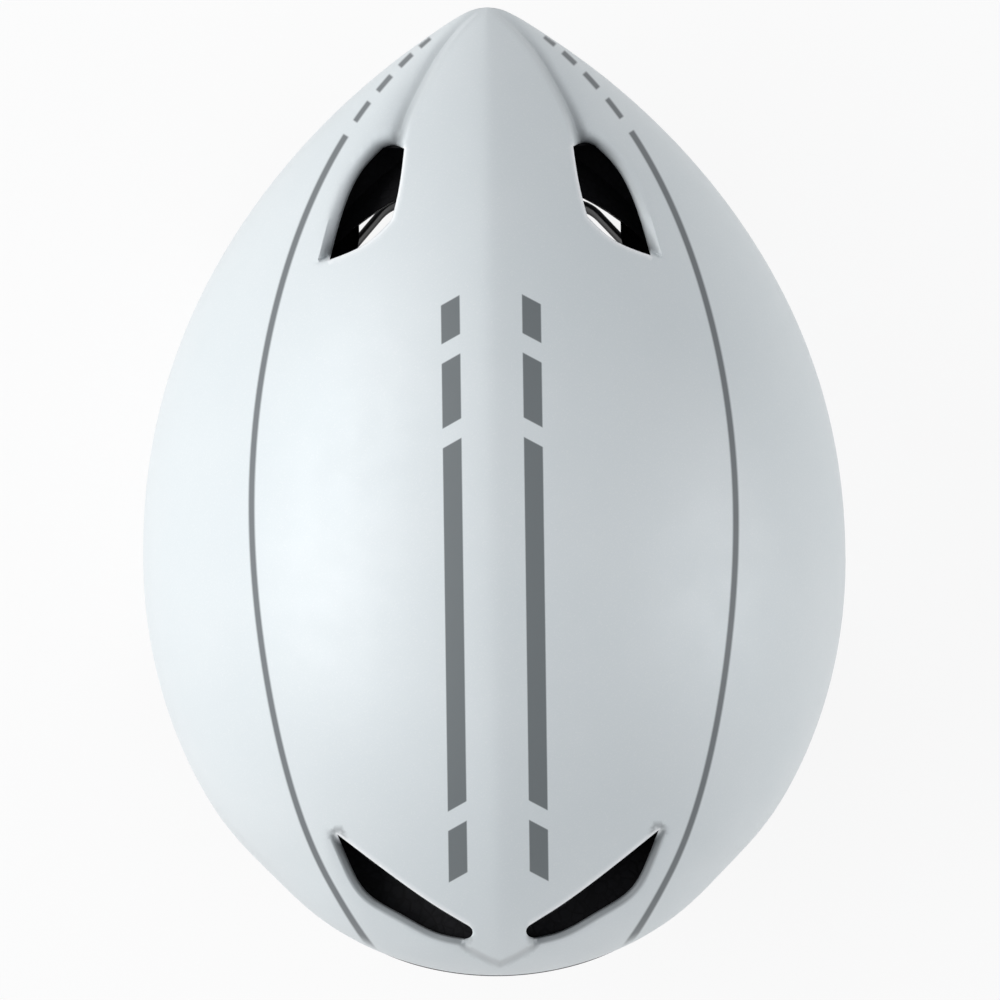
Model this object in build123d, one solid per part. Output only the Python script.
from build123d import *
import math
import os

os.makedirs("parts", exist_ok=True)

# The frame: the front of the helmet faces -Y, the tail points to +Y, the wearer's left is +X,
# +Z is up, and the origin is at the middle of the floor that the ear covers stand on.

# Overall size, for a head of 55 to 59 cm
LENGTH = 300.0
WIDTH = 218.0
HEIGHT = 181.0
WIDEST_Y = -21.0
CROWN_Y = -15.0
BROW_LEVEL = 85.0
EAR_LEVEL = 75.0
TAIL_LEVEL = 104.0
CREASE_ANGLES = (6.0, 15.0)
PLAN_SHARES = ((2, 0.5), (2.15, 0.81))
SIDE_SHARES = ((2, 0.5), (2, 0.85))
ROUND_SHARES = ((2, 0.5), (2, 0.5))
TUCK_SHARE = 0.12

# Walls and clearances
SHELL_WALL = 2.0
BOND_GAP = 0.2
SOFT_GAP = 0.3
FIT_GAP = 0.2
RUN_GAP = 0.08
OVERRUN = 6.0

# Rim: the lower edge of the helmet in side view
RIM_BROW_Z = 76.0
RIM_TEMPLE_Y = -70.0
RIM_TEMPLE_Z = 66.0
RIM_EAR_FRONT_Y = -36.0
RIM_EAR_REAR_Y = 66.0
RIM_NAPE_Y = 98.0
RIM_NAPE_Z = 62.0
RIM_TAIL_Z = 97.0
RIM_TEMPLE_RADIUS = 34.0
RIM_EAR_RADIUS = 16.0
RIM_NAPE_RADIUS = 40.0
TRIM_HEIGHT = 3.0
TRIM_DEPTH = 4.2
TRIM_SETBACK = 0.2

# Head cavity in the foam
CAVITY_FRONT = -118.0
CAVITY_REAR = 98.0
CAVITY_HALF_WIDTH = 80.5
CAVITY_CROWN = 148.0
CAVITY_LEVEL = 60.0
CHANNEL_DEPTH = 8.0
CHANNEL_WIDTH = 14.0
CHANNEL_PLACES = (20.0, 48.0)
POCKET_DEPTH = 13.0
POCKET_LOW = 112.0
CHANNEL_LOW = 104.0
PORT_LOW = 40.0
DUCT_WIDTH = 24.0
DUCT_HEIGHT = 14.0
DUCT_CORNER = 5.0
DUCT_X = 26.0
DUCT_FRONT_Y = -127.0
DUCT_REAR_Y = -60.0
DUCT_Z = 124.0
BAY_HALF_WIDTH = 56.0
BAY_FRONT_Y = 60.0
BAY_REAR_Y = 104.0
BAY_CEILING = 66.0
BAY_CORNER = 12.0

# Vents: outlines seen from above, as shares of the half width and the half length
HALF_WIDTH = WIDTH / 2
HALF_LENGTH = LENGTH / 2
EXHAUST_HOLE_SHARES = (
    ((0.239, 0.709), (0.260, 0.613), (0.277, 0.563)),
    ((0.277, 0.563), (0.339, 0.520), (0.454, 0.482)),
    ((0.454, 0.482), (0.411, 0.590), (0.358, 0.667), (0.301, 0.711)),
    ((0.301, 0.711), (0.239, 0.709)),
)
EXHAUST_GROOVE_SHARES = (
    ((0.269, 0.548), (0.252, 0.613), (0.231, 0.709), (0.209, 0.780), (0.134, 0.893), (0.075, 0.950)),
    ((0.075, 0.950), (0.125, 0.935)),
    ((0.125, 0.935), (0.225, 0.847), (0.303, 0.768), (0.358, 0.713), (0.404, 0.650), (0.446, 0.573),
     (0.486, 0.473)),
    ((0.486, 0.473), (0.367, 0.497), (0.269, 0.548)),
)
INTAKE_HOLE_SHARES = (
    ((0.448, -0.711), (0.261, -0.817), (0.169, -0.863), (0.067, -0.904)),
    ((0.067, -0.904), (0.090, -0.922)),
    ((0.090, -0.922), (0.143, -0.918), (0.226, -0.892), (0.378, -0.823), (0.419, -0.765), (0.448, -0.711)),
)
INTAKE_RAMP_SHARES = (
    ((0.476, -0.684), (0.266, -0.809), (0.171, -0.855), (0.057, -0.897)),
    ((0.057, -0.897), (0.079, -0.940)),
    ((0.079, -0.940), (0.239, -0.925), (0.394, -0.860), (0.454, -0.780), (0.476, -0.684)),
)
GROOVE_TILT = 6.5
RAMP_TILT = -12.0
RAMP_PIVOT_Y = -146.0
RAMP_PIVOT_Z = 108.0

# Pads on the foam
PAD_THICKNESS = 4.0
BROW_PAD_HALF_WIDTH = 52.0
BROW_PAD_LOW = 84.0
BROW_PAD_HIGH = 104.0
CROWN_PAD_LENGTH = 96.0
CROWN_PAD_WIDTH = 18.0
CROWN_PAD_CORNER = 6.0
TOP_PAD_X = 34.0
TOP_PAD_WIDTH = 12.0
TOP_PAD_LENGTH = 78.0
TOP_PAD_CORNER = 4.0
SIDE_PAD_Y = 4.0
SIDE_PAD_LENGTH = 62.0
SIDE_PAD_LOW = 84.0
SIDE_PAD_HIGH = 104.0
PAD_CORNER = 8.0

# Retention ring: a plane through the temple pins that falls towards the nape
PIVOT_Y = -45.0
PIVOT_Z = 70.0
RING_FALL = 13.8
RING_TILT_RANGE = 4.5
BAND_THICKNESS = 1.5
BAND_HEIGHT = 10.0
BAND_END = 9.0
TEMPLE_X = 72.5
RACK_PLANE = 139.0
RACK_TRAVEL = 7.0
BAND_CORNER_SHARES = ((1.0, 0.158), (1.056, 0.518), (0.793, 0.777))
BAND_TURN_X = 30.5
BAND_RADII = (200.0, 80.0, 100.0, 12.0)

# Cradle housing, in the ring's own frame: x across, y back along the ring, z square to both
RACK_THICKNESS = 1.4
RACK_SPACING = 0.4
RACK_HALF_HEIGHT = 9.0
RACK_OUTER_X = 23.0
RACK_END_RIM = 2.2
HOUSING_HALF_WIDTH = 25.0
HOUSING_WALL = 2.0
HOUSING_FLOOR = 1.9
HOUSING_CORNER = 4.0
COVER_THICKNESS = 1.8
LUG_RADIUS = 3.0
LUG_X = 18.0
SCREW_RADIUS = 1.1
SCREW_LENGTH = 5.0
SCREW_HEAD_RADIUS = 2.1
SCREW_HEAD_HEIGHT = 1.2
SCREW_SLOT_WIDTH = 0.6
SCREW_CROSS_LENGTH = 3.2
SCREW_CROSS_WIDTH = 0.8
OCCIPITAL_PAD_THICKNESS = 3.8
OCCIPITAL_PAD_MARGIN = 2.5

# Pinion and racks
GEAR_MODULE = 1.0
PINION_TEETH = 10
PRESSURE_ANGLE = 30.0
ADDENDUM_SHARE = 0.8
DEDENDUM_SHARE = 1.0
BACKLASH = 0.16
JOURNAL_RADIUS = 2.0
JOURNAL_LENGTH = 1.2
SHAFT_RADIUS = 3.0
SHAFT_LENGTH = 7.0

# Dial
DIAL_RADIUS = 15.0
DIAL_THICKNESS = 8.8
DIAL_GAP = 0.4
DIAL_CHAMFER = 0.8
DIAL_SCALLOPS = 14
SCALLOP_RADIUS = 2.2
SCALLOP_DEPTH = 1.1
DIAL_CUP_DEPTH = 4.4
DIAL_HUB_RADIUS = 5.5
CLICK_COUNT = 24
CLICK_RADIUS = 11.6
CLICK_DEPTH = 1.0
DETENT_THICKNESS = 1.6
DETENT_INNER = 6.0
DETENT_OUTER = 8.4
DETENT_ARM_INNER = 9.4
DETENT_ARM_OUTER = 10.6
DETENT_ARM_ANGLE = 70.0
DETENT_ROOT_ANGLE = 14.0
DETENT_TIP_ANGLE = 6.0
DETENT_TIP_RADIUS = 11.3
DIAL_SCREW_RADIUS = 1.25
DIAL_SCREW_LENGTH = 7.0
DIAL_SCREW_HEAD = 2.6
DIAL_SCREW_HEAD_HEIGHT = 1.5

# Height adjuster: an arc about the temple pins, in degrees above the ring's plane
HANGER_RADIUS = 140.0
HANGER_THICKNESS = 1.6
HANGER_WIDTH = 14.0
STRIP_WIDTH = 11.0
SLIDER_START = 17.0
SLIDER_END = 25.0
SLIDER_GRIP = 1.0
RAIL_MARGIN = 1.0
RAIL_BACK = 1.8
RAIL_SIDE = 1.8
RAIL_HOOK = 1.6
RAIL_ROOM = 24.0
RAIL_NOTCHES = 5
NOTCH_WIDTH = 6.0
NOTCH_HEIGHT = 2.0

# Temple anchors
ANCHOR_LENGTH = 26.0
ANCHOR_HEIGHT = 19.0
ANCHOR_THICKNESS = 2.0
ANCHOR_CORNER = 5.0
ANCHOR_BOSS_RADIUS = 6.0
ANCHOR_BOSS_LENGTH = 7.0
PIN_RADIUS = 2.5
PIN_LENGTH = 9.0
PIN_HEAD_RADIUS = 4.5
PIN_HEAD_HEIGHT = 1.0

# Straps, their anchors and the dividers under the ears
STRAP_WIDTH = 18.0
STRAP_THICKNESS = 1.2
STRAP_ANCHOR_LENGTH = 24.0
STRAP_ANCHOR_HEIGHT = 13.0
STRAP_ANCHOR_THICKNESS = 2.2
STRAP_ANCHOR_CORNER = 3.0
FRONT_ANCHOR_Y = -42.0
FRONT_ANCHOR_Z = 49.0
REAR_ANCHOR_Y = 52.0
REAR_ANCHOR_Z = 19.0
DIVIDER_X = 65.0
DIVIDER_Y = 2.0
DIVIDER_Z = 17.0
DIVIDER_LENGTH = 34.0
DIVIDER_HEIGHT = 25.0
DIVIDER_THICKNESS = 5.0
DIVIDER_CORNER = 6.0
STRAP_GRIP = 5.0
STRAP_LIFT = 2.2
STRAP_LEAN = 1.0
LEVER_LENGTH = 15.0
LEVER_WIDTH = 20.0
LEVER_THICKNESS = 2.0
LEVER_KNUCKLE = 2.3
LEVER_PIN_RADIUS = 1.3
LEVER_LUG = 2.0
CHIN_LEVEL = 4.2
CHIN_BEND_X = 60.0
CHIN_BEND_RADIUS = 6.0

# Buckle, strap keeper and chin pad
BUCKLE_LENGTH = 28.0
BUCKLE_TAIL = 13.0
BUCKLE_WIDTH = 25.0
BUCKLE_HEIGHT = 7.0
BUCKLE_CORNER = 2.5
BUCKLE_WALL = 1.6
BUCKLE_POCKET = 6.0
PRONG_WIDTH = 3.4
PRONG_HEIGHT = 3.4
PRONG_LENGTH = 16.0
PRONG_BARB = 1.3
BARB_LENGTH = 5.4
GUIDE_WIDTH = 3.0
KEEPER_X = -21.0
KEEPER_LENGTH = 6.0
KEEPER_WALL = 1.3
CHIN_PAD_X = 40.0
CHIN_PAD_LENGTH = 20.0
CHIN_PAD_WALL = 2.0


class Form:
    """An egg-shaped body with a flat sole, made of sections square to the Y axis."""

    blunt_share = 0.998
    roundness_share = 0.5523
    station_count = 9

    def __init__(self, front, rear, widest, half_width, crown, crown_y, levels, sole,
                 plan_shares, side_shares, crease, tuck_share):
        self.front, self.rear, self.widest = front, rear, widest
        self.half_width, self.crown, self.crown_y = half_width, crown, crown_y
        self.front_level, self.mid_level, self.rear_level = levels
        self.sole = sole
        self.plan_shares, self.side_shares = plan_shares, side_shares
        self.crease = crease
        self.tuck_share = tuck_share

    def reach(self, y, middle):
        """How far y lies from the middle towards its end, as a share."""
        end = self.front if y < middle else self.rear
        return min(self.blunt_share * (y - middle) / (end - middle), self.blunt_share)

    def half_width_at(self, y):
        power, root = self.plan_shares[0 if y < self.widest else 1]
        return self.half_width * (1 - self.reach(y, self.widest) ** power) ** root

    def crown_at(self, y):
        power, root = self.side_shares[0 if y < self.crown_y else 1]
        level = self.front_level if y < self.crown_y else self.rear_level
        return level + (self.crown - level) * (1 - self.reach(y, self.crown_y) ** power) ** root

    def level_at(self, y):
        end = self.front_level if y < self.widest else self.rear_level
        return self.mid_level + (end - self.mid_level) * self.reach(y, self.widest) ** 3

    def section(self, y):
        w, top, level = self.half_width_at(y), self.crown_at(y), self.level_at(y)
        fall = self.crease[0] + (self.crease[1] - self.crease[0]) * self.reach(y, self.widest) ** 2
        k = self.roundness_share
        slope = min(k * w * math.tan(math.radians(fall)), (top - level) * k)
        foot = w * (1 - self.tuck_share * ((level - self.sole) / level) ** 2)
        middle = (level + self.sole) / 2
        right = [
            Bezier((0, y, top), (k * w, y, top - slope), (w, y, level + k * (top - level)), (w, y, level)),
            Bezier((w, y, level), (w, y, middle), (foot, y, self.sole)),
        ]
        left = [edge.mirror(Plane.YZ) for edge in right]
        return Wire(right + left + [Line((foot, y, self.sole), (-foot, y, self.sole))])

    def stations(self):
        """Places along Y, closer together towards the ends."""
        angles = [math.pi / 2 * k / self.station_count for k in range(self.station_count + 1)]
        ahead = [self.widest + (self.front - self.widest) * math.sin(a) for a in reversed(angles)]
        behind = [self.widest + (self.rear - self.widest) * math.sin(a) for a in angles[1:]]
        return ahead + behind

    def solid(self):
        return Solid.make_loft([self.section(y) for y in self.stations()])


def helmet_form(inset):
    """The outside of the helmet, drawn in all round by the inset."""
    return Form(
        -HALF_LENGTH + inset, HALF_LENGTH - inset, WIDEST_Y, HALF_WIDTH - inset,
        HEIGHT - inset, CROWN_Y, (BROW_LEVEL, EAR_LEVEL, TAIL_LEVEL - inset), -OVERRUN,
        plan_shares=PLAN_SHARES, side_shares=SIDE_SHARES, crease=CREASE_ANGLES, tuck_share=TUCK_SHARE)


def cavity_form(growth):
    """The room for the head in the foam, grown all round."""
    return Form(
        CAVITY_FRONT - growth, CAVITY_REAR + growth, (CAVITY_FRONT + CAVITY_REAR) / 2,
        CAVITY_HALF_WIDTH + growth, CAVITY_CROWN + growth, (CAVITY_FRONT + CAVITY_REAR) / 2,
        (CAVITY_LEVEL, CAVITY_LEVEL, CAVITY_LEVEL), -OVERRUN,
        plan_shares=ROUND_SHARES, side_shares=ROUND_SHARES, crease=(0, 0), tuck_share=0)


def grown_runs(runs, growth):
    """Runs of plan points in millimetres, each moved out square to its two neighbours."""
    runs = [[(x * HALF_WIDTH, y * HALF_LENGTH) for x, y in run] for run in runs]
    loop = [point for run in runs for point in run[:-1]]
    area = sum(a[0] * b[1] - b[0] * a[1] for a, b in zip(loop, loop[1:] + loop[:1]))
    outward = math.copysign(growth, area)
    moved = {}
    for before, here, after in zip(loop[-1:] + loop[:-1], loop, loop[1:] + loop[:1]):
        ahead, back = math.dist(here, after), math.dist(before, here)
        first = ((here[1] - before[1]) / back, (before[0] - here[0]) / back)
        second = ((after[1] - here[1]) / ahead, (here[0] - after[0]) / ahead)
        share = outward / (1 + first[0] * second[0] + first[1] * second[1])
        moved[here] = (here[0] + share * (first[0] + second[0]), here[1] + share * (first[1] + second[1]))
    return [[moved[point] for point in run] for run in runs]


def plan_prism(runs, side, low, high, growth=0):
    """An upright prism over a plan outline, grown sideways: a run of two points is straight."""
    edges = []
    for run in grown_runs(runs, growth):
        points = [(side * x, y) for x, y in run]
        edges.append(Line(*points) if len(points) == 2 else Spline(*points))
    return extrude(Pos(0, 0, low) * make_face(edges), amount=high - low)


def both(make):
    """The same piece on both sides."""
    return [make(side) for side in (1, -1)]


def vent_recesses(inset):
    """The grooves behind the exhausts and the ramps before the intakes, to be cut away."""
    hull = helmet_form(inset).solid()
    groove = hull.rotate(Axis((0, HALF_LENGTH, TAIL_LEVEL), (1, 0, 0)), GROOVE_TILT)
    ramp = hull.rotate(Axis((0, RAMP_PIVOT_Y, RAMP_PIVOT_Z), (1, 0, 0)), RAMP_TILT)
    top = HEIGHT + OVERRUN
    cuts = []
    for runs, floor in ((EXHAUST_GROOVE_SHARES, groove), (INTAKE_RAMP_SHARES, ramp)):
        cuts += both(lambda side: plan_prism(runs, side, EAR_LEVEL, top, inset) - floor)
    return cuts


def side_rim():
    """The region under the rim line, in side view, as a face in the plane of Y and Z."""
    ahead, behind = -HALF_LENGTH - OVERRUN, HALF_LENGTH + OVERRUN
    line = FilletPolyline(
        (ahead, RIM_BROW_Z), (RIM_TEMPLE_Y, RIM_TEMPLE_Z), (RIM_EAR_FRONT_Y, 0), (RIM_EAR_REAR_Y, 0),
        (RIM_NAPE_Y, RIM_NAPE_Z), (behind, RIM_TAIL_Z),
        radius=[RIM_TEMPLE_RADIUS, RIM_EAR_RADIUS, RIM_EAR_RADIUS, RIM_NAPE_RADIUS])
    deep = -OVERRUN - OVERRUN
    frame = Polyline((behind, RIM_TAIL_Z), (behind, deep), (ahead, deep), (ahead, RIM_BROW_Z))
    return make_face(line.edges() + frame.edges())


def across(face, half_width):
    """A side-view face, drawn with y and z, as a prism across the helmet."""
    return extrude(Plane((0, 0, 0), x_dir=(0, 1, 0), z_dir=(1, 0, 0)) * face, amount=half_width, both=True)


def slab(x0, x1, y0, y1, z0, z1, corner=0, axis=Axis.Z):
    """A block between two corners, with its edges along one axis rounded."""
    block = Pos((x0 + x1) / 2, (y0 + y1) / 2, (z0 + z1) / 2) * Box(abs(x1 - x0), abs(y1 - y0), abs(z1 - z0))
    return fillet(block.edges().filter_by(axis), corner) if corner else block


def save(name, shape):
    """Write one node: a single solid, or a group of separate ones."""
    solids = list(shape.solids())
    export_step(solids[0] if len(solids) == 1 else Compound(children=solids), f"parts/{name}.step")


# Shell, foam and rim

def outer_shell(mouth):
    outside = helmet_form(0).solid()
    inside = helmet_form(SHELL_WALL).solid()
    for cut in vent_recesses(0):
        outside -= cut
    for cut in vent_recesses(SHELL_WALL):
        inside -= cut
    shell = outside - inside - mouth
    for runs in (EXHAUST_HOLE_SHARES, INTAKE_HOLE_SHARES):
        for side in (1, -1):
            shell -= plan_prism(runs, side, EAR_LEVEL, HEIGHT + OVERRUN)
    return shell


def cavity_plan(low, high):
    """The upright prism over the head cavity's widest outline."""
    form = cavity_form(0)
    middle = (CAVITY_FRONT + CAVITY_REAR) / 2
    ellipse = Ellipse(form.half_width, (CAVITY_REAR - CAVITY_FRONT) / 2)
    return extrude(Pos(0, middle, low) * ellipse, amount=high - low)


def air_ways(hull_inset):
    """The channels, ducts, pockets and ports that carry air through the foam."""
    top = HEIGHT + OVERRUN
    ways = []
    channel_room = cavity_form(CHANNEL_DEPTH).solid()
    for place in CHANNEL_PLACES:
        for side in (1, -1):
            x0, x1 = side * place - CHANNEL_WIDTH / 2, side * place + CHANNEL_WIDTH / 2
            ways.append(channel_room & slab(x0, x1, -HALF_LENGTH, HALF_LENGTH, CHANNEL_LOW, top))
    deep = helmet_form(hull_inset + POCKET_DEPTH).solid()
    for side in (1, -1):
        ways.append(slab(side * DUCT_X - DUCT_WIDTH / 2, side * DUCT_X + DUCT_WIDTH / 2, DUCT_FRONT_Y,
                         DUCT_REAR_Y, DUCT_Z - DUCT_HEIGHT / 2, DUCT_Z + DUCT_HEIGHT / 2,
                         DUCT_CORNER, Axis.Y))
        for runs in (EXHAUST_HOLE_SHARES, INTAKE_HOLE_SHARES):
            ways.append(plan_prism(runs, side, POCKET_LOW, top, FIT_GAP) - deep)
        port = plan_prism(EXHAUST_HOLE_SHARES, side, PORT_LOW, top, FIT_GAP)
        ways.append(port & cavity_plan(PORT_LOW - OVERRUN, top + OVERRUN))
    return ways


def foam_liner(mouth, seats):
    inset = SHELL_WALL + BOND_GAP
    foam = helmet_form(inset).solid()
    for cut in vent_recesses(inset):
        foam -= cut
    foam -= cavity_form(0).solid()
    foam -= slab(-BAY_HALF_WIDTH, BAY_HALF_WIDTH, BAY_FRONT_Y, BAY_REAR_Y, -OVERRUN, BAY_CEILING,
                 BAY_CORNER, Axis.Y)
    for cut in air_ways(inset) + seats:
        foam -= cut
    foam -= mouth
    return foam


def rim_trim(under, mouth):
    ring = helmet_form(TRIM_SETBACK).solid() - helmet_form(TRIM_SETBACK + TRIM_DEPTH).solid()
    return (ring & mouth) - across(under, WIDTH)


def pad_layer():
    return cavity_form(-SOFT_GAP).solid() - cavity_form(-SOFT_GAP - PAD_THICKNESS).solid()


def foam_pads():
    """Every pad is a piece of one layer under the foam."""
    layer = pad_layer()
    pads = {}
    brow = slab(-BROW_PAD_HALF_WIDTH, BROW_PAD_HALF_WIDTH, -HALF_LENGTH, PIVOT_Y, BROW_PAD_LOW,
                BROW_PAD_HIGH, PAD_CORNER, Axis.Y)
    pads["brow_pad"] = layer & brow
    middle = (CAVITY_FRONT + CAVITY_REAR) / 2
    crown = slab(-CROWN_PAD_WIDTH / 2, CROWN_PAD_WIDTH / 2, middle - CROWN_PAD_LENGTH / 2,
                 middle + CROWN_PAD_LENGTH / 2, CAVITY_LEVEL, HEIGHT, CROWN_PAD_CORNER)
    pads["crown_pad"] = layer & crown
    for side, word in ((1, "left"), (-1, "right")):
        top = slab(side * TOP_PAD_X - TOP_PAD_WIDTH / 2, side * TOP_PAD_X + TOP_PAD_WIDTH / 2,
                   middle - TOP_PAD_LENGTH / 2, middle + TOP_PAD_LENGTH / 2, CAVITY_LEVEL, HEIGHT,
                   TOP_PAD_CORNER)
        pads["top_pad_" + word] = layer & top
        wall = slab(side * CAVITY_HALF_WIDTH / 2, side * WIDTH, SIDE_PAD_Y - SIDE_PAD_LENGTH / 2,
                    SIDE_PAD_Y + SIDE_PAD_LENGTH / 2, SIDE_PAD_LOW, SIDE_PAD_HIGH, PAD_CORNER, Axis.X)
        pads["side_pad_" + word] = layer & wall
    return pads


# Retention ring

def ring_place(shape):
    """From the ring's own frame, with its origin between the temple pins, into the helmet's."""
    return Pos(0, PIVOT_Y, PIVOT_Z) * Rot(-RING_FALL, 0, 0) * shape


def plate(face, y0, y1):
    """A face drawn with x and z, as a plate from y0 back to y1."""
    return extrude(Plane((0, y0, 0), x_dir=(1, 0, 0), z_dir=(0, -1, 0)) * face, amount=y0 - y1)


def rod(radius, y0, y1, x=0, z=0):
    """A round piece along the dial's axis."""
    return Pos(x, (y0 + y1) / 2, z) * Rot(90, 0, 0) * Cylinder(radius, y1 - y0)


def cross_rod(radius, x0, x1, y=0, z=0):
    """A round piece across the helmet."""
    return Pos((x0 + x1) / 2, y, z) * Rot(0, 90, 0) * Cylinder(radius, abs(x1 - x0))


def rack_layer(side):
    """The front and rear faces of a rack plate: the left one lies in front of the right one."""
    middle = RACK_PLANE - side * (RACK_THICKNESS + RACK_SPACING) / 2
    return middle - RACK_THICKNESS / 2, middle + RACK_THICKNESS / 2


def ring_band(side):
    front, rear = rack_layer(side)
    last = (front + rear) / 2
    corners = [(x * TEMPLE_X, y * RACK_PLANE) for x, y in BAND_CORNER_SHARES]
    points = [(TEMPLE_X, -BAND_END)] + corners + [(BAND_TURN_X, last), (RACK_OUTER_X, last)]
    path = FilletPolyline(*[(side * x, y) for x, y in points], radius=list(BAND_RADII))
    frame = Plane(path @ 0, x_dir=(0, 0, 1), z_dir=path % 0)
    strip = sweep(frame * Rectangle(BAND_HEIGHT, BAND_THICKNESS), path)
    hole = cross_rod(PIN_RADIUS + RUN_GAP, side * (TEMPLE_X - BAND_END), side * (TEMPLE_X + BAND_END))
    return strip - hole


def rack_teeth(half_length):
    """The toothed edge of a slot, from left to right, as heights above the pinion's axis."""
    pitch = math.pi * GEAR_MODULE
    pitch_radius = GEAR_MODULE * PINION_TEETH / 2
    tip = pitch_radius - ADDENDUM_SHARE * GEAR_MODULE
    root = pitch_radius + DEDENDUM_SHARE * GEAR_MODULE
    lean = math.tan(math.radians(PRESSURE_ANGLE))
    half = pitch / 4 - BACKLASH / 4
    count = int(half_length / pitch - 1 / 2)
    points = []
    for k in range(-count, count):
        middle = (k + 1 / 2) * pitch
        narrow = half - (pitch_radius - tip) * lean
        wide = half + (root - pitch_radius) * lean
        points += [(middle - wide, root), (middle - narrow, tip)]
        points += [(middle + narrow, tip), (middle + wide, root)]
    return points, root


def rack_plate(side):
    pinion_radius = GEAR_MODULE * PINION_TEETH / 2 + ADDENDUM_SHARE * GEAR_MODULE
    slot = pinion_radius + RACK_TRAVEL + BOND_GAP
    teeth, root = rack_teeth(slot)
    floor = -root - RACK_SPACING
    outline = [(-slot, floor), (-slot, root)] + teeth + [(slot, root), (slot, floor)]
    window = make_face(Polyline(*outline, close=True))
    x0, x1 = -slot - RACK_END_RIM, RACK_OUTER_X
    blank = Pos((x0 + x1) / 2, 0) * Rectangle(x1 - x0, 2 * RACK_HALF_HEIGHT)
    face = blank - window
    front, rear = rack_layer(side)
    turned = face if side == 1 else Rot(0, 0, 180) * face
    return plate(turned, front, rear)


def pinion_outline():
    """An involute outline, with a tooth at the top and one at the bottom."""
    pitch_radius = GEAR_MODULE * PINION_TEETH / 2
    base = pitch_radius * math.cos(math.radians(PRESSURE_ANGLE))
    tip = pitch_radius + ADDENDUM_SHARE * GEAR_MODULE
    root = pitch_radius - DEDENDUM_SHARE * GEAR_MODULE
    step = 2 * math.pi / PINION_TEETH

    def involute(radius):
        angle = math.acos(base / radius)
        return math.tan(angle) - angle

    half = step / 4 - BACKLASH / (4 * pitch_radius)
    flank = [(base + (tip - base) * k / 4) for k in range(5)]
    angles = [half + involute(pitch_radius) - involute(radius) for radius in flank]
    points = []
    for tooth in range(PINION_TEETH):
        middle = math.pi / 2 + tooth * step
        rising = [(root, angles[0])] + list(zip(flank, angles))
        points += [polar(radius, middle - angle) for radius, angle in rising]
        points += [polar(radius, middle + angle) for radius, angle in reversed(rising)]
    return points


def polar(radius, angle):
    return (radius * math.cos(angle), radius * math.sin(angle))


def channel_faces():
    """The front and rear of the room that the two racks share."""
    half = RACK_THICKNESS + RACK_SPACING / 2
    return RACK_PLANE - half - FIT_GAP, RACK_PLANE + half + FIT_GAP


def dial_pinion():
    front, rear = channel_faces()
    teeth = plate(make_face(Polyline(*pinion_outline(), close=True)), front + RUN_GAP, rear - RUN_GAP)
    journal = rod(JOURNAL_RADIUS, front + RUN_GAP - JOURNAL_LENGTH, front + RUN_GAP)
    shaft = rod(SHAFT_RADIUS, rear - RUN_GAP, rear + SHAFT_LENGTH)
    screw_room = rod(DIAL_SCREW_RADIUS + RUN_GAP, front + JOURNAL_LENGTH, rear + SHAFT_LENGTH)
    return teeth + journal + shaft - screw_room


def housing_outline():
    half_height = RACK_HALF_HEIGHT + FIT_GAP + HOUSING_WALL
    outline = RectangleRounded(2 * HOUSING_HALF_WIDTH, 2 * half_height, HOUSING_CORNER)
    for x, z in lug_places():
        outline += Pos(x, z) * Circle(LUG_RADIUS)
    return outline


def lug_places():
    half_height = RACK_HALF_HEIGHT + FIT_GAP + HOUSING_WALL
    return [(x * LUG_X, z * (half_height + SCREW_RADIUS)) for x in (1, -1) for z in (1, -1)]


def cradle_housing():
    front, rear = channel_faces()
    tray = plate(housing_outline(), front - HOUSING_FLOOR, rear)
    room = RACK_HALF_HEIGHT + FIT_GAP
    tray -= slab(-WIDTH, WIDTH, front, rear + OVERRUN, -room, room)
    tray -= rod(JOURNAL_RADIUS + RUN_GAP, front - JOURNAL_LENGTH - RUN_GAP, front)
    for x, z in lug_places():
        tray -= rod(SCREW_RADIUS, rear + COVER_THICKNESS - SCREW_LENGTH, rear, x, z)
    return tray


def cradle_cover():
    rear = channel_faces()[1]
    cover = plate(housing_outline(), rear, rear + COVER_THICKNESS)
    cover -= rod(SHAFT_RADIUS + RUN_GAP, rear - OVERRUN, rear + OVERRUN)
    for x, z in lug_places():
        cover -= rod(SCREW_RADIUS, rear - OVERRUN, rear + OVERRUN, x, z)
    return cover


def cover_screws():
    rear = channel_faces()[1] + COVER_THICKNESS
    screws = []
    for x, z in lug_places():
        screw = rod(SCREW_RADIUS, rear - SCREW_LENGTH, rear, x, z)
        screw += rod(SCREW_HEAD_RADIUS, rear, rear + SCREW_HEAD_HEIGHT, x, z)
        slot = slab(x - SCREW_HEAD_RADIUS, x + SCREW_HEAD_RADIUS, rear + SCREW_HEAD_HEIGHT / 2,
                    rear + OVERRUN, z - SCREW_SLOT_WIDTH / 2, z + SCREW_SLOT_WIDTH / 2)
        screws.append(screw - slot)
    return Compound(children=[solid for screw in screws for solid in screw.solids()])


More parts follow.
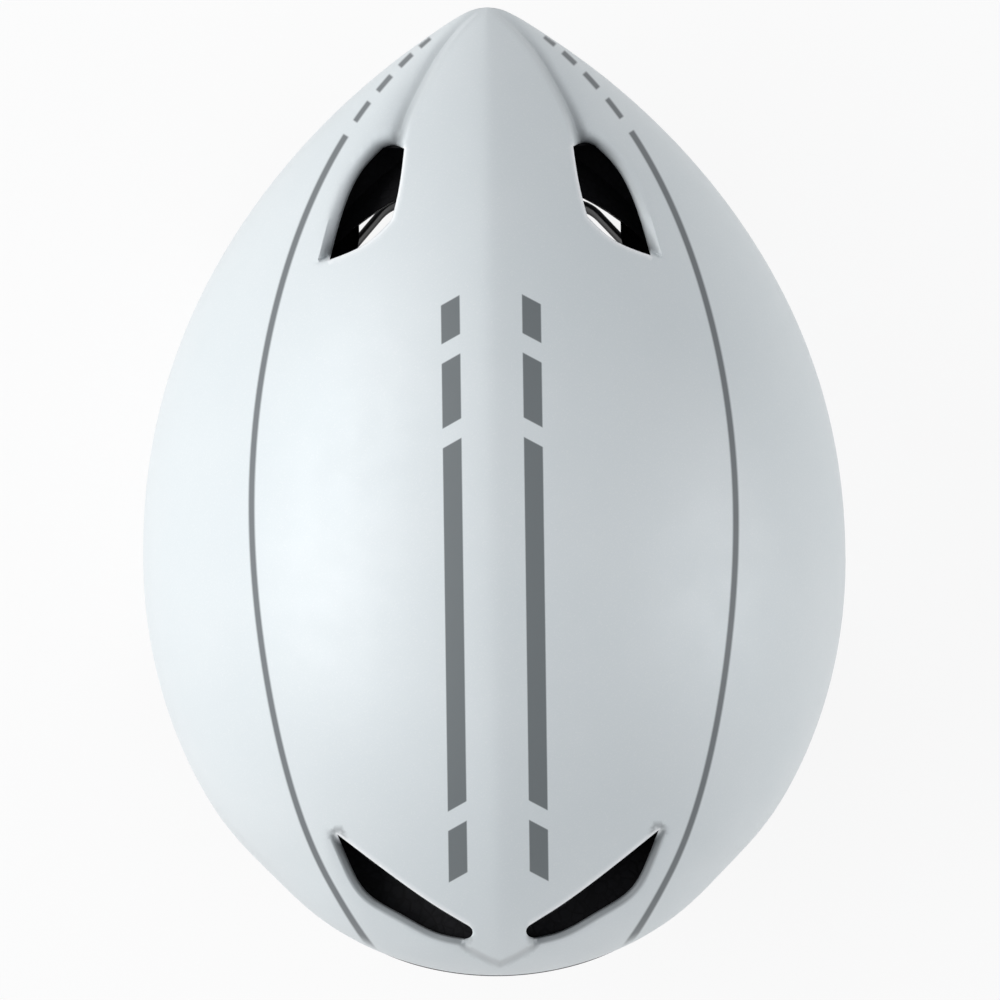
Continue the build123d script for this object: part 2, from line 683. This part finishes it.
def dial_knob():
    start = channel_faces()[1] + COVER_THICKNESS + DIAL_GAP
    end = start + DIAL_THICKNESS
    knob = rod(DIAL_RADIUS, start, end)
    knob = chamfer(knob.edges().filter_by(GeomType.CIRCLE).sort_by(Axis.Y)[-1], DIAL_CHAMFER)
    for k in range(DIAL_SCALLOPS):
        place = polar(DIAL_RADIUS + SCALLOP_RADIUS - SCALLOP_DEPTH, 2 * math.pi * k / DIAL_SCALLOPS)
        knob -= rod(SCALLOP_RADIUS, start - OVERRUN, end + OVERRUN, *place)
    star = []
    for k in range(CLICK_COUNT):
        middle = 2 * math.pi * k / CLICK_COUNT
        star.append(polar(CLICK_RADIUS, middle))
        star.append(polar(CLICK_RADIUS + CLICK_DEPTH, middle + math.pi / CLICK_COUNT))
    cup = plate(make_face(Polyline(*star, close=True)), start - OVERRUN, start + DIAL_CUP_DEPTH)
    knob -= cup - rod(DIAL_HUB_RADIUS, start + DIAL_GAP, end)
    knob -= rod(SHAFT_RADIUS + RUN_GAP, start - OVERRUN, channel_faces()[1] + SHAFT_LENGTH + RUN_GAP)
    knob -= rod(DIAL_SCREW_RADIUS + RUN_GAP, start, end + OVERRUN)
    return knob - rod(DIAL_SCREW_HEAD + FIT_GAP, end - DIAL_SCREW_HEAD_HEIGHT, end + OVERRUN)


def dial_screw():
    end = channel_faces()[1] + COVER_THICKNESS + DIAL_GAP + DIAL_THICKNESS
    seat = end - DIAL_SCREW_HEAD_HEIGHT
    screw = rod(DIAL_SCREW_RADIUS, seat - DIAL_SCREW_LENGTH, seat) + rod(DIAL_SCREW_HEAD, seat, end)
    long, half = SCREW_CROSS_LENGTH / 2, SCREW_CROSS_WIDTH / 2
    cross = slab(-long, long, seat + half, end + OVERRUN, -half, half)
    cross += slab(-half, half, seat + half, end + OVERRUN, -long, long)
    return screw - cross


def ring_piece(inner, outer, start, size):
    """A sector of a flat ring, with its angles in degrees."""
    edges = [CenterArc((0, 0), inner, start, size), CenterArc((0, 0), outer, start, size)]
    near, far = edges
    edges += [Line(near @ 0, far @ 0), Line(near @ 1, far @ 1)]
    return make_face(edges)


def detent_plate():
    """The springy ring whose two fingers click along the dial's inner teeth."""
    face = Circle(DETENT_OUTER) - Circle(DETENT_INNER)
    for start in (0, 180):
        face += ring_piece(DETENT_OUTER - FIT_GAP, DETENT_ARM_OUTER, start, DETENT_ROOT_ANGLE)
        face += ring_piece(DETENT_ARM_INNER, DETENT_ARM_OUTER, start, DETENT_ARM_ANGLE)
        face += ring_piece(DETENT_ARM_INNER, DETENT_TIP_RADIUS, start + DETENT_ARM_ANGLE - DETENT_TIP_ANGLE,
                           DETENT_TIP_ANGLE)
    seat = channel_faces()[1] + COVER_THICKNESS
    return plate(face, seat, seat + DETENT_THICKNESS)


def occipital_pad(side):
    rear = channel_faces()[0] - HOUSING_FLOOR
    x0, x1 = side * OCCIPITAL_PAD_MARGIN, side * (HOUSING_HALF_WIDTH - OCCIPITAL_PAD_MARGIN / 2)
    half = RACK_HALF_HEIGHT
    return slab(x0, x1, rear - OCCIPITAL_PAD_THICKNESS, rear, -half, half, HOUSING_CORNER, Axis.Y)


def sector(inner, outer, start, end, half_width, x=0):
    """A curved plate about the temple pins."""
    face = ring_piece(inner, outer, start, end - start)
    frame = Plane((x, 0, 0), x_dir=(0, 1, 0), z_dir=(1, 0, 0))
    return extrude(frame * face, amount=half_width, both=True)


def hanger_slider():
    half = HANGER_THICKNESS / 2
    block = sector(HANGER_RADIUS - half, HANGER_RADIUS + half, SLIDER_START, SLIDER_END, HANGER_WIDTH / 2)
    grip = (SLIDER_START + SLIDER_END) / 2
    return block + sector(HANGER_RADIUS - half - HANGER_THICKNESS, HANGER_RADIUS - half,
                          grip - SLIDER_GRIP / 2, grip + SLIDER_GRIP / 2, HANGER_WIDTH / 4)


def hanger_strip():
    """The flexible strip that joins the slider to the top of the cradle."""
    half = HANGER_THICKNESS / 2 - FIT_GAP
    top = RACK_HALF_HEIGHT + FIT_GAP + HOUSING_WALL
    start = math.degrees(math.asin((top + FIT_GAP) / (HANGER_RADIUS - half)))
    return sector(HANGER_RADIUS - half, HANGER_RADIUS + half, start, SLIDER_START, STRIP_WIDTH / 2)


def rail_angles():
    return SLIDER_START - RING_TILT_RANGE - RAIL_MARGIN, SLIDER_END + RING_TILT_RANGE + RAIL_MARGIN


def height_rail():
    """A channel that holds the slider behind two hooked sides."""
    low, high = rail_angles()
    face_radius = HANGER_RADIUS + HANGER_THICKNESS / 2 + FIT_GAP
    room = HANGER_RADIUS - HANGER_THICKNESS / 2 - FIT_GAP
    half = HANGER_WIDTH / 2 + FIT_GAP
    rail = sector(face_radius, face_radius + RAIL_BACK, low, high, half + RAIL_SIDE)
    for side in (1, -1):
        middle = side * (half + RAIL_SIDE / 2)
        rail += sector(room - RAIL_HOOK, face_radius + RAIL_BACK, low, high, RAIL_SIDE / 2, middle)
        hook = side * (half + RAIL_SIDE / 2 - RAIL_HOOK / 2)
        rail += sector(room - RAIL_HOOK, room, low, high, (RAIL_SIDE + RAIL_HOOK) / 2, hook)
    step = 2 * RING_TILT_RANGE / (RAIL_NOTCHES - 1)
    for k in range(RAIL_NOTCHES):
        angle = (SLIDER_START + SLIDER_END) / 2 - RING_TILT_RANGE + k * step
        spread = math.degrees(NOTCH_HEIGHT / HANGER_RADIUS / 2)
        rail -= sector(room, face_radius + RAIL_BACK + OVERRUN, angle - spread, angle + spread,
                       NOTCH_WIDTH / 2)
    return rail


def rail_seat():
    """The slot in the foam for the rail and its slider."""
    low, high = rail_angles()
    margin = math.degrees(FIT_GAP / HANGER_RADIUS)
    outer = HANGER_RADIUS + HANGER_THICKNESS / 2 + FIT_GAP + RAIL_BACK + FIT_GAP
    half = HANGER_WIDTH / 2 + FIT_GAP + RAIL_SIDE + FIT_GAP
    return sector(HANGER_RADIUS - RAIL_ROOM, outer, low - margin, high + margin, half)


def anchor_faces():
    """The inner and outer faces of a temple anchor's plate."""
    inner = TEMPLE_X + BAND_THICKNESS / 2 + SOFT_GAP
    return inner, inner + ANCHOR_THICKNESS


def temple_anchor(side, growth=0):
    inner, outer = anchor_faces()
    if growth:
        inner, outer = inner - OVERRUN, outer + growth
    half_length, half_height = ANCHOR_LENGTH / 2 + growth, ANCHOR_HEIGHT / 2 + growth
    body = slab(side * inner, side * outer, -half_length, half_length, -half_height, half_height,
                ANCHOR_CORNER, Axis.X)
    reach = outer + ANCHOR_BOSS_LENGTH + growth
    body += cross_rod(ANCHOR_BOSS_RADIUS + growth, side * inner, side * reach)
    return Pos(0, PIVOT_Y, PIVOT_Z) * body


def drilled_anchor(side):
    inner = anchor_faces()[0]
    end = TEMPLE_X - BAND_THICKNESS / 2 + PIN_LENGTH + RUN_GAP
    bore = cross_rod(PIN_RADIUS + RUN_GAP, side * (inner - OVERRUN), side * end)
    return temple_anchor(side) - Pos(0, PIVOT_Y, PIVOT_Z) * bore


def temple_pin(side):
    seat = TEMPLE_X - BAND_THICKNESS / 2
    head = cross_rod(PIN_HEAD_RADIUS, side * (seat - PIN_HEAD_HEIGHT), side * seat)
    pin = head + cross_rod(PIN_RADIUS, side * seat, side * (seat + PIN_LENGTH))
    return Pos(0, PIVOT_Y, PIVOT_Z) * pin


# Straps, dividers and buckle

def cavity_wall(y):
    """Half the width of the cavity's upright wall at a place along it, and the wall's turn there."""
    middle, reach = (CAVITY_FRONT + CAVITY_REAR) / 2, (CAVITY_REAR - CAVITY_FRONT) / 2
    x = CAVITY_HALF_WIDTH * math.sqrt(1 - ((y - middle) / reach) ** 2)
    slope = -(CAVITY_HALF_WIDTH / reach) ** 2 * (y - middle) / x
    return x, math.degrees(math.atan(slope))


def strap_anchor(side, y, z, growth=0):
    """A plate let into the foam, flush with the cavity's wall."""
    x, turn = cavity_wall(y)
    thick = STRAP_ANCHOR_THICKNESS + growth
    body = slab(0, thick, -STRAP_ANCHOR_LENGTH / 2 - growth, STRAP_ANCHOR_LENGTH / 2 + growth,
                -STRAP_ANCHOR_HEIGHT / 2 - growth, STRAP_ANCHOR_HEIGHT / 2 + growth,
                STRAP_ANCHOR_CORNER, Axis.X)
    if growth:
        body += slab(-growth - OVERRUN, 0, -STRAP_ANCHOR_LENGTH / 2, STRAP_ANCHOR_LENGTH / 2,
                     -STRAP_ANCHOR_HEIGHT / 2, STRAP_ANCHOR_HEIGHT / 2)
    placed = Pos(x, y, z) * Rot(0, 0, -turn) * body
    return placed if side == 1 else placed.mirror(Plane.YZ)


def strap_ends(side):
    """For the front and the rear strap: its end at the anchor and its end in the divider."""
    ends = []
    for y, z, along in ((FRONT_ANCHOR_Y, FRONT_ANCHOR_Z, -1), (REAR_ANCHOR_Y, REAR_ANCHOR_Z, 1)):
        wall = cavity_wall(y)[0] - STRAP_THICKNESS / 2 - SOFT_GAP - STRAP_LEAN
        top = Vector(side * wall, y, z)
        foot = Vector(side * DIVIDER_X, DIVIDER_Y + along * DIVIDER_LENGTH / 4, DIVIDER_Z + STRAP_LIFT)
        ends.append((top, foot))
    return ends


def straight_strap(top, foot, growth=0):
    """A flat strap between two points, with its face towards the head."""
    along = (foot - top).normalized()
    frame = Plane((top + foot) / 2, x_dir=along, z_dir=Vector(1, 0, 0) - along * along.X)
    length = (foot - top).length
    return frame * Box(length, STRAP_WIDTH + 2 * growth, STRAP_THICKNESS + 2 * growth)


def chin_path(side, end_x):
    start = (side * DIVIDER_X, DIVIDER_Z - DIVIDER_HEIGHT / 2 + STRAP_GRIP)
    points = [start, (side * CHIN_BEND_X, CHIN_LEVEL), (side * end_x, CHIN_LEVEL)]
    return Plane((0, DIVIDER_Y, 0), x_dir=(1, 0, 0), z_dir=(0, -1, 0)) * FilletPolyline(
        *points, radius=CHIN_BEND_RADIUS)


def chin_strap(side, end_x, growth=0):
    path = chin_path(side, end_x)
    section = Rectangle(STRAP_WIDTH + 2 * growth, STRAP_THICKNESS + 2 * growth)
    return sweep(Plane(path @ 0, x_dir=(0, 1, 0), z_dir=path % 0) * section, path)


def divider_body(side):
    half_length, half_height = DIVIDER_LENGTH / 2, DIVIDER_HEIGHT / 2
    half_thick = DIVIDER_THICKNESS / 2
    body = slab(side * (DIVIDER_X - half_thick), side * (DIVIDER_X + half_thick), DIVIDER_Y - half_length,
                DIVIDER_Y + half_length, DIVIDER_Z - half_height, DIVIDER_Z + half_height,
                DIVIDER_CORNER, Axis.X)
    x, y, z = lever_axis(side)
    for along in (1, -1):
        y0 = y + along * (LEVER_WIDTH / 2 + RUN_GAP)
        lug = slab(side * (DIVIDER_X - half_thick), x - side * LEVER_KNUCKLE, y0, y0 + along * LEVER_LUG,
                   z - LEVER_KNUCKLE, z + LEVER_KNUCKLE)
        body += lug
    body += rod(LEVER_PIN_RADIUS, y - LEVER_WIDTH / 2 - LEVER_LUG, y + LEVER_WIDTH / 2 + LEVER_LUG, x, z)
    for top, foot in strap_ends(side):
        body -= straight_strap(top, foot, FIT_GAP)
    return body - chin_strap(side, BUCKLE_LENGTH, FIT_GAP)


def lever_axis(side):
    x = side * (DIVIDER_X - DIVIDER_THICKNESS / 2 - LEVER_KNUCKLE - FIT_GAP)
    return x, DIVIDER_Y, DIVIDER_Z + DIVIDER_HEIGHT / 2 - LEVER_KNUCKLE - RUN_GAP


def divider_lever(side):
    x, y, z = lever_axis(side)
    lever = rod(LEVER_KNUCKLE, y - LEVER_WIDTH / 2, y + LEVER_WIDTH / 2, x, z)
    lever += slab(x - side * LEVER_THICKNESS / 2, x + side * LEVER_THICKNESS / 2, y - LEVER_WIDTH / 2,
                  y + LEVER_WIDTH / 2, z - LEVER_LENGTH, z)
    return lever - rod(LEVER_PIN_RADIUS + RUN_GAP, y - LEVER_WIDTH, y + LEVER_WIDTH, x, z)


def buckle_slab(x0, x1, half_width, half_height, corner=0):
    return slab(x0, x1, DIVIDER_Y - half_width, DIVIDER_Y + half_width, CHIN_LEVEL - half_height,
                CHIN_LEVEL + half_height, corner)


def buckle_female():
    body = buckle_slab(0, BUCKLE_LENGTH, BUCKLE_WIDTH / 2, BUCKLE_HEIGHT / 2, BUCKLE_CORNER)
    room = PRONG_HEIGHT / 2 + FIT_GAP
    end = PRONG_LENGTH + FIT_GAP
    body -= buckle_slab(-OVERRUN, end, BUCKLE_WIDTH / 2 - BUCKLE_WALL, room)
    body -= buckle_slab(PRONG_LENGTH - BARB_LENGTH - FIT_GAP, end, BUCKLE_WIDTH, room)
    return body - buckle_slab(BUCKLE_LENGTH - BUCKLE_POCKET, BUCKLE_LENGTH + OVERRUN,
                              STRAP_WIDTH / 2 + FIT_GAP, STRAP_THICKNESS / 2 + FIT_GAP)


def buckle_male():
    body = buckle_slab(-BUCKLE_TAIL, -FIT_GAP, BUCKLE_WIDTH / 2, BUCKLE_HEIGHT / 2, BUCKLE_CORNER)
    half = PRONG_HEIGHT / 2
    outer = BUCKLE_WIDTH / 2 - BUCKLE_WALL - FIT_GAP
    for side in (1, -1):
        y0, y1 = DIVIDER_Y + side * (outer - PRONG_WIDTH), DIVIDER_Y + side * outer
        body += slab(-BUCKLE_WALL, PRONG_LENGTH, y0, y1, CHIN_LEVEL - half, CHIN_LEVEL + half)
        heel = PRONG_LENGTH - BARB_LENGTH
        barb = Polyline((heel, y1), (heel, y1 + side * PRONG_BARB), (PRONG_LENGTH, y1), close=True)
        body += extrude(Pos(0, 0, CHIN_LEVEL) * make_face(barb), amount=half, both=True)
    body += buckle_slab(-BUCKLE_WALL, PRONG_LENGTH - BARB_LENGTH, GUIDE_WIDTH / 2, half)
    return body - buckle_slab(-BUCKLE_TAIL - OVERRUN, -BUCKLE_TAIL + BUCKLE_POCKET,
                              STRAP_WIDTH / 2 + FIT_GAP, STRAP_THICKNESS / 2 + FIT_GAP)


def sleeve(middle, length, wall, corner):
    """A loop or a pad round the chin strap."""
    half_width, half_height = STRAP_WIDTH / 2 + SOFT_GAP, STRAP_THICKNESS / 2 + SOFT_GAP
    body = slab(middle - length / 2, middle + length / 2, DIVIDER_Y - half_width - wall,
                DIVIDER_Y + half_width + wall, CHIN_LEVEL - half_height - wall,
                CHIN_LEVEL + half_height + wall, corner, Axis.X)
    return body - buckle_slab(middle - length, middle + length, half_width, half_height)


def main():
    under = side_rim()
    mouth = across(offset(under, amount=TRIM_HEIGHT, kind=Kind.ARC), WIDTH)
    sides = {1: "left", -1: "right"}
    anchors = {"front": (FRONT_ANCHOR_Y, FRONT_ANCHOR_Z), "rear": (REAR_ANCHOR_Y, REAR_ANCHOR_Z)}

    seats = [ring_place(rail_seat())]
    for side in sides:
        seats.append(temple_anchor(side, FIT_GAP))
        seats += [strap_anchor(side, y, z, FIT_GAP) for y, z in anchors.values()]

    pieces = {
        "outer_shell": outer_shell(mouth),
        "foam_liner": foam_liner(mouth, seats),
        "rim_trim": rim_trim(under, mouth),
        "height_rail": ring_place(height_rail()),
        "hanger_slider": ring_place(hanger_slider()),
        "hanger_strip": ring_place(hanger_strip()),
        "cradle_housing": ring_place(cradle_housing()),
        "cradle_cover": ring_place(cradle_cover()),
        "cover_screws": ring_place(cover_screws()),
        "detent_plate": ring_place(detent_plate()),
        "dial_pinion": ring_place(dial_pinion()),
        "dial_knob": ring_place(dial_knob()),
        "dial_screw": ring_place(dial_screw()),
        "buckle_female": buckle_female(),
        "buckle_male": buckle_male(),
        "strap_keeper": sleeve(KEEPER_X, KEEPER_LENGTH, KEEPER_WALL, KEEPER_WALL),
        "chin_pad": sleeve(CHIN_PAD_X, CHIN_PAD_LENGTH, CHIN_PAD_WALL, CHIN_PAD_WALL),
        "chin_strap_left": chin_strap(1, BUCKLE_LENGTH - BUCKLE_POCKET),
        "chin_strap_right": chin_strap(-1, BUCKLE_TAIL - BUCKLE_POCKET),
    }
    pieces.update(foam_pads())
    for side, word in sides.items():
        pieces["ring_band_" + word] = ring_place(ring_band(side))
        pieces["rack_plate_" + word] = ring_place(rack_plate(side))
        pieces["occipital_pad_" + word] = ring_place(occipital_pad(side))
        pieces["temple_anchor_" + word] = drilled_anchor(side)
        pieces["temple_pin_" + word] = temple_pin(side)
        pieces["strap_divider_" + word] = divider_body(side)
        pieces["divider_lever_" + word] = divider_lever(side)
        for (place, (y, z)), ends in zip(anchors.items(), strap_ends(side)):
            pieces[f"{place}_anchor_{word}"] = strap_anchor(side, y, z)
            pieces[f"{place}_strap_{word}"] = straight_strap(*ends)
    for name, piece in pieces.items():
        save(name, piece)


main()
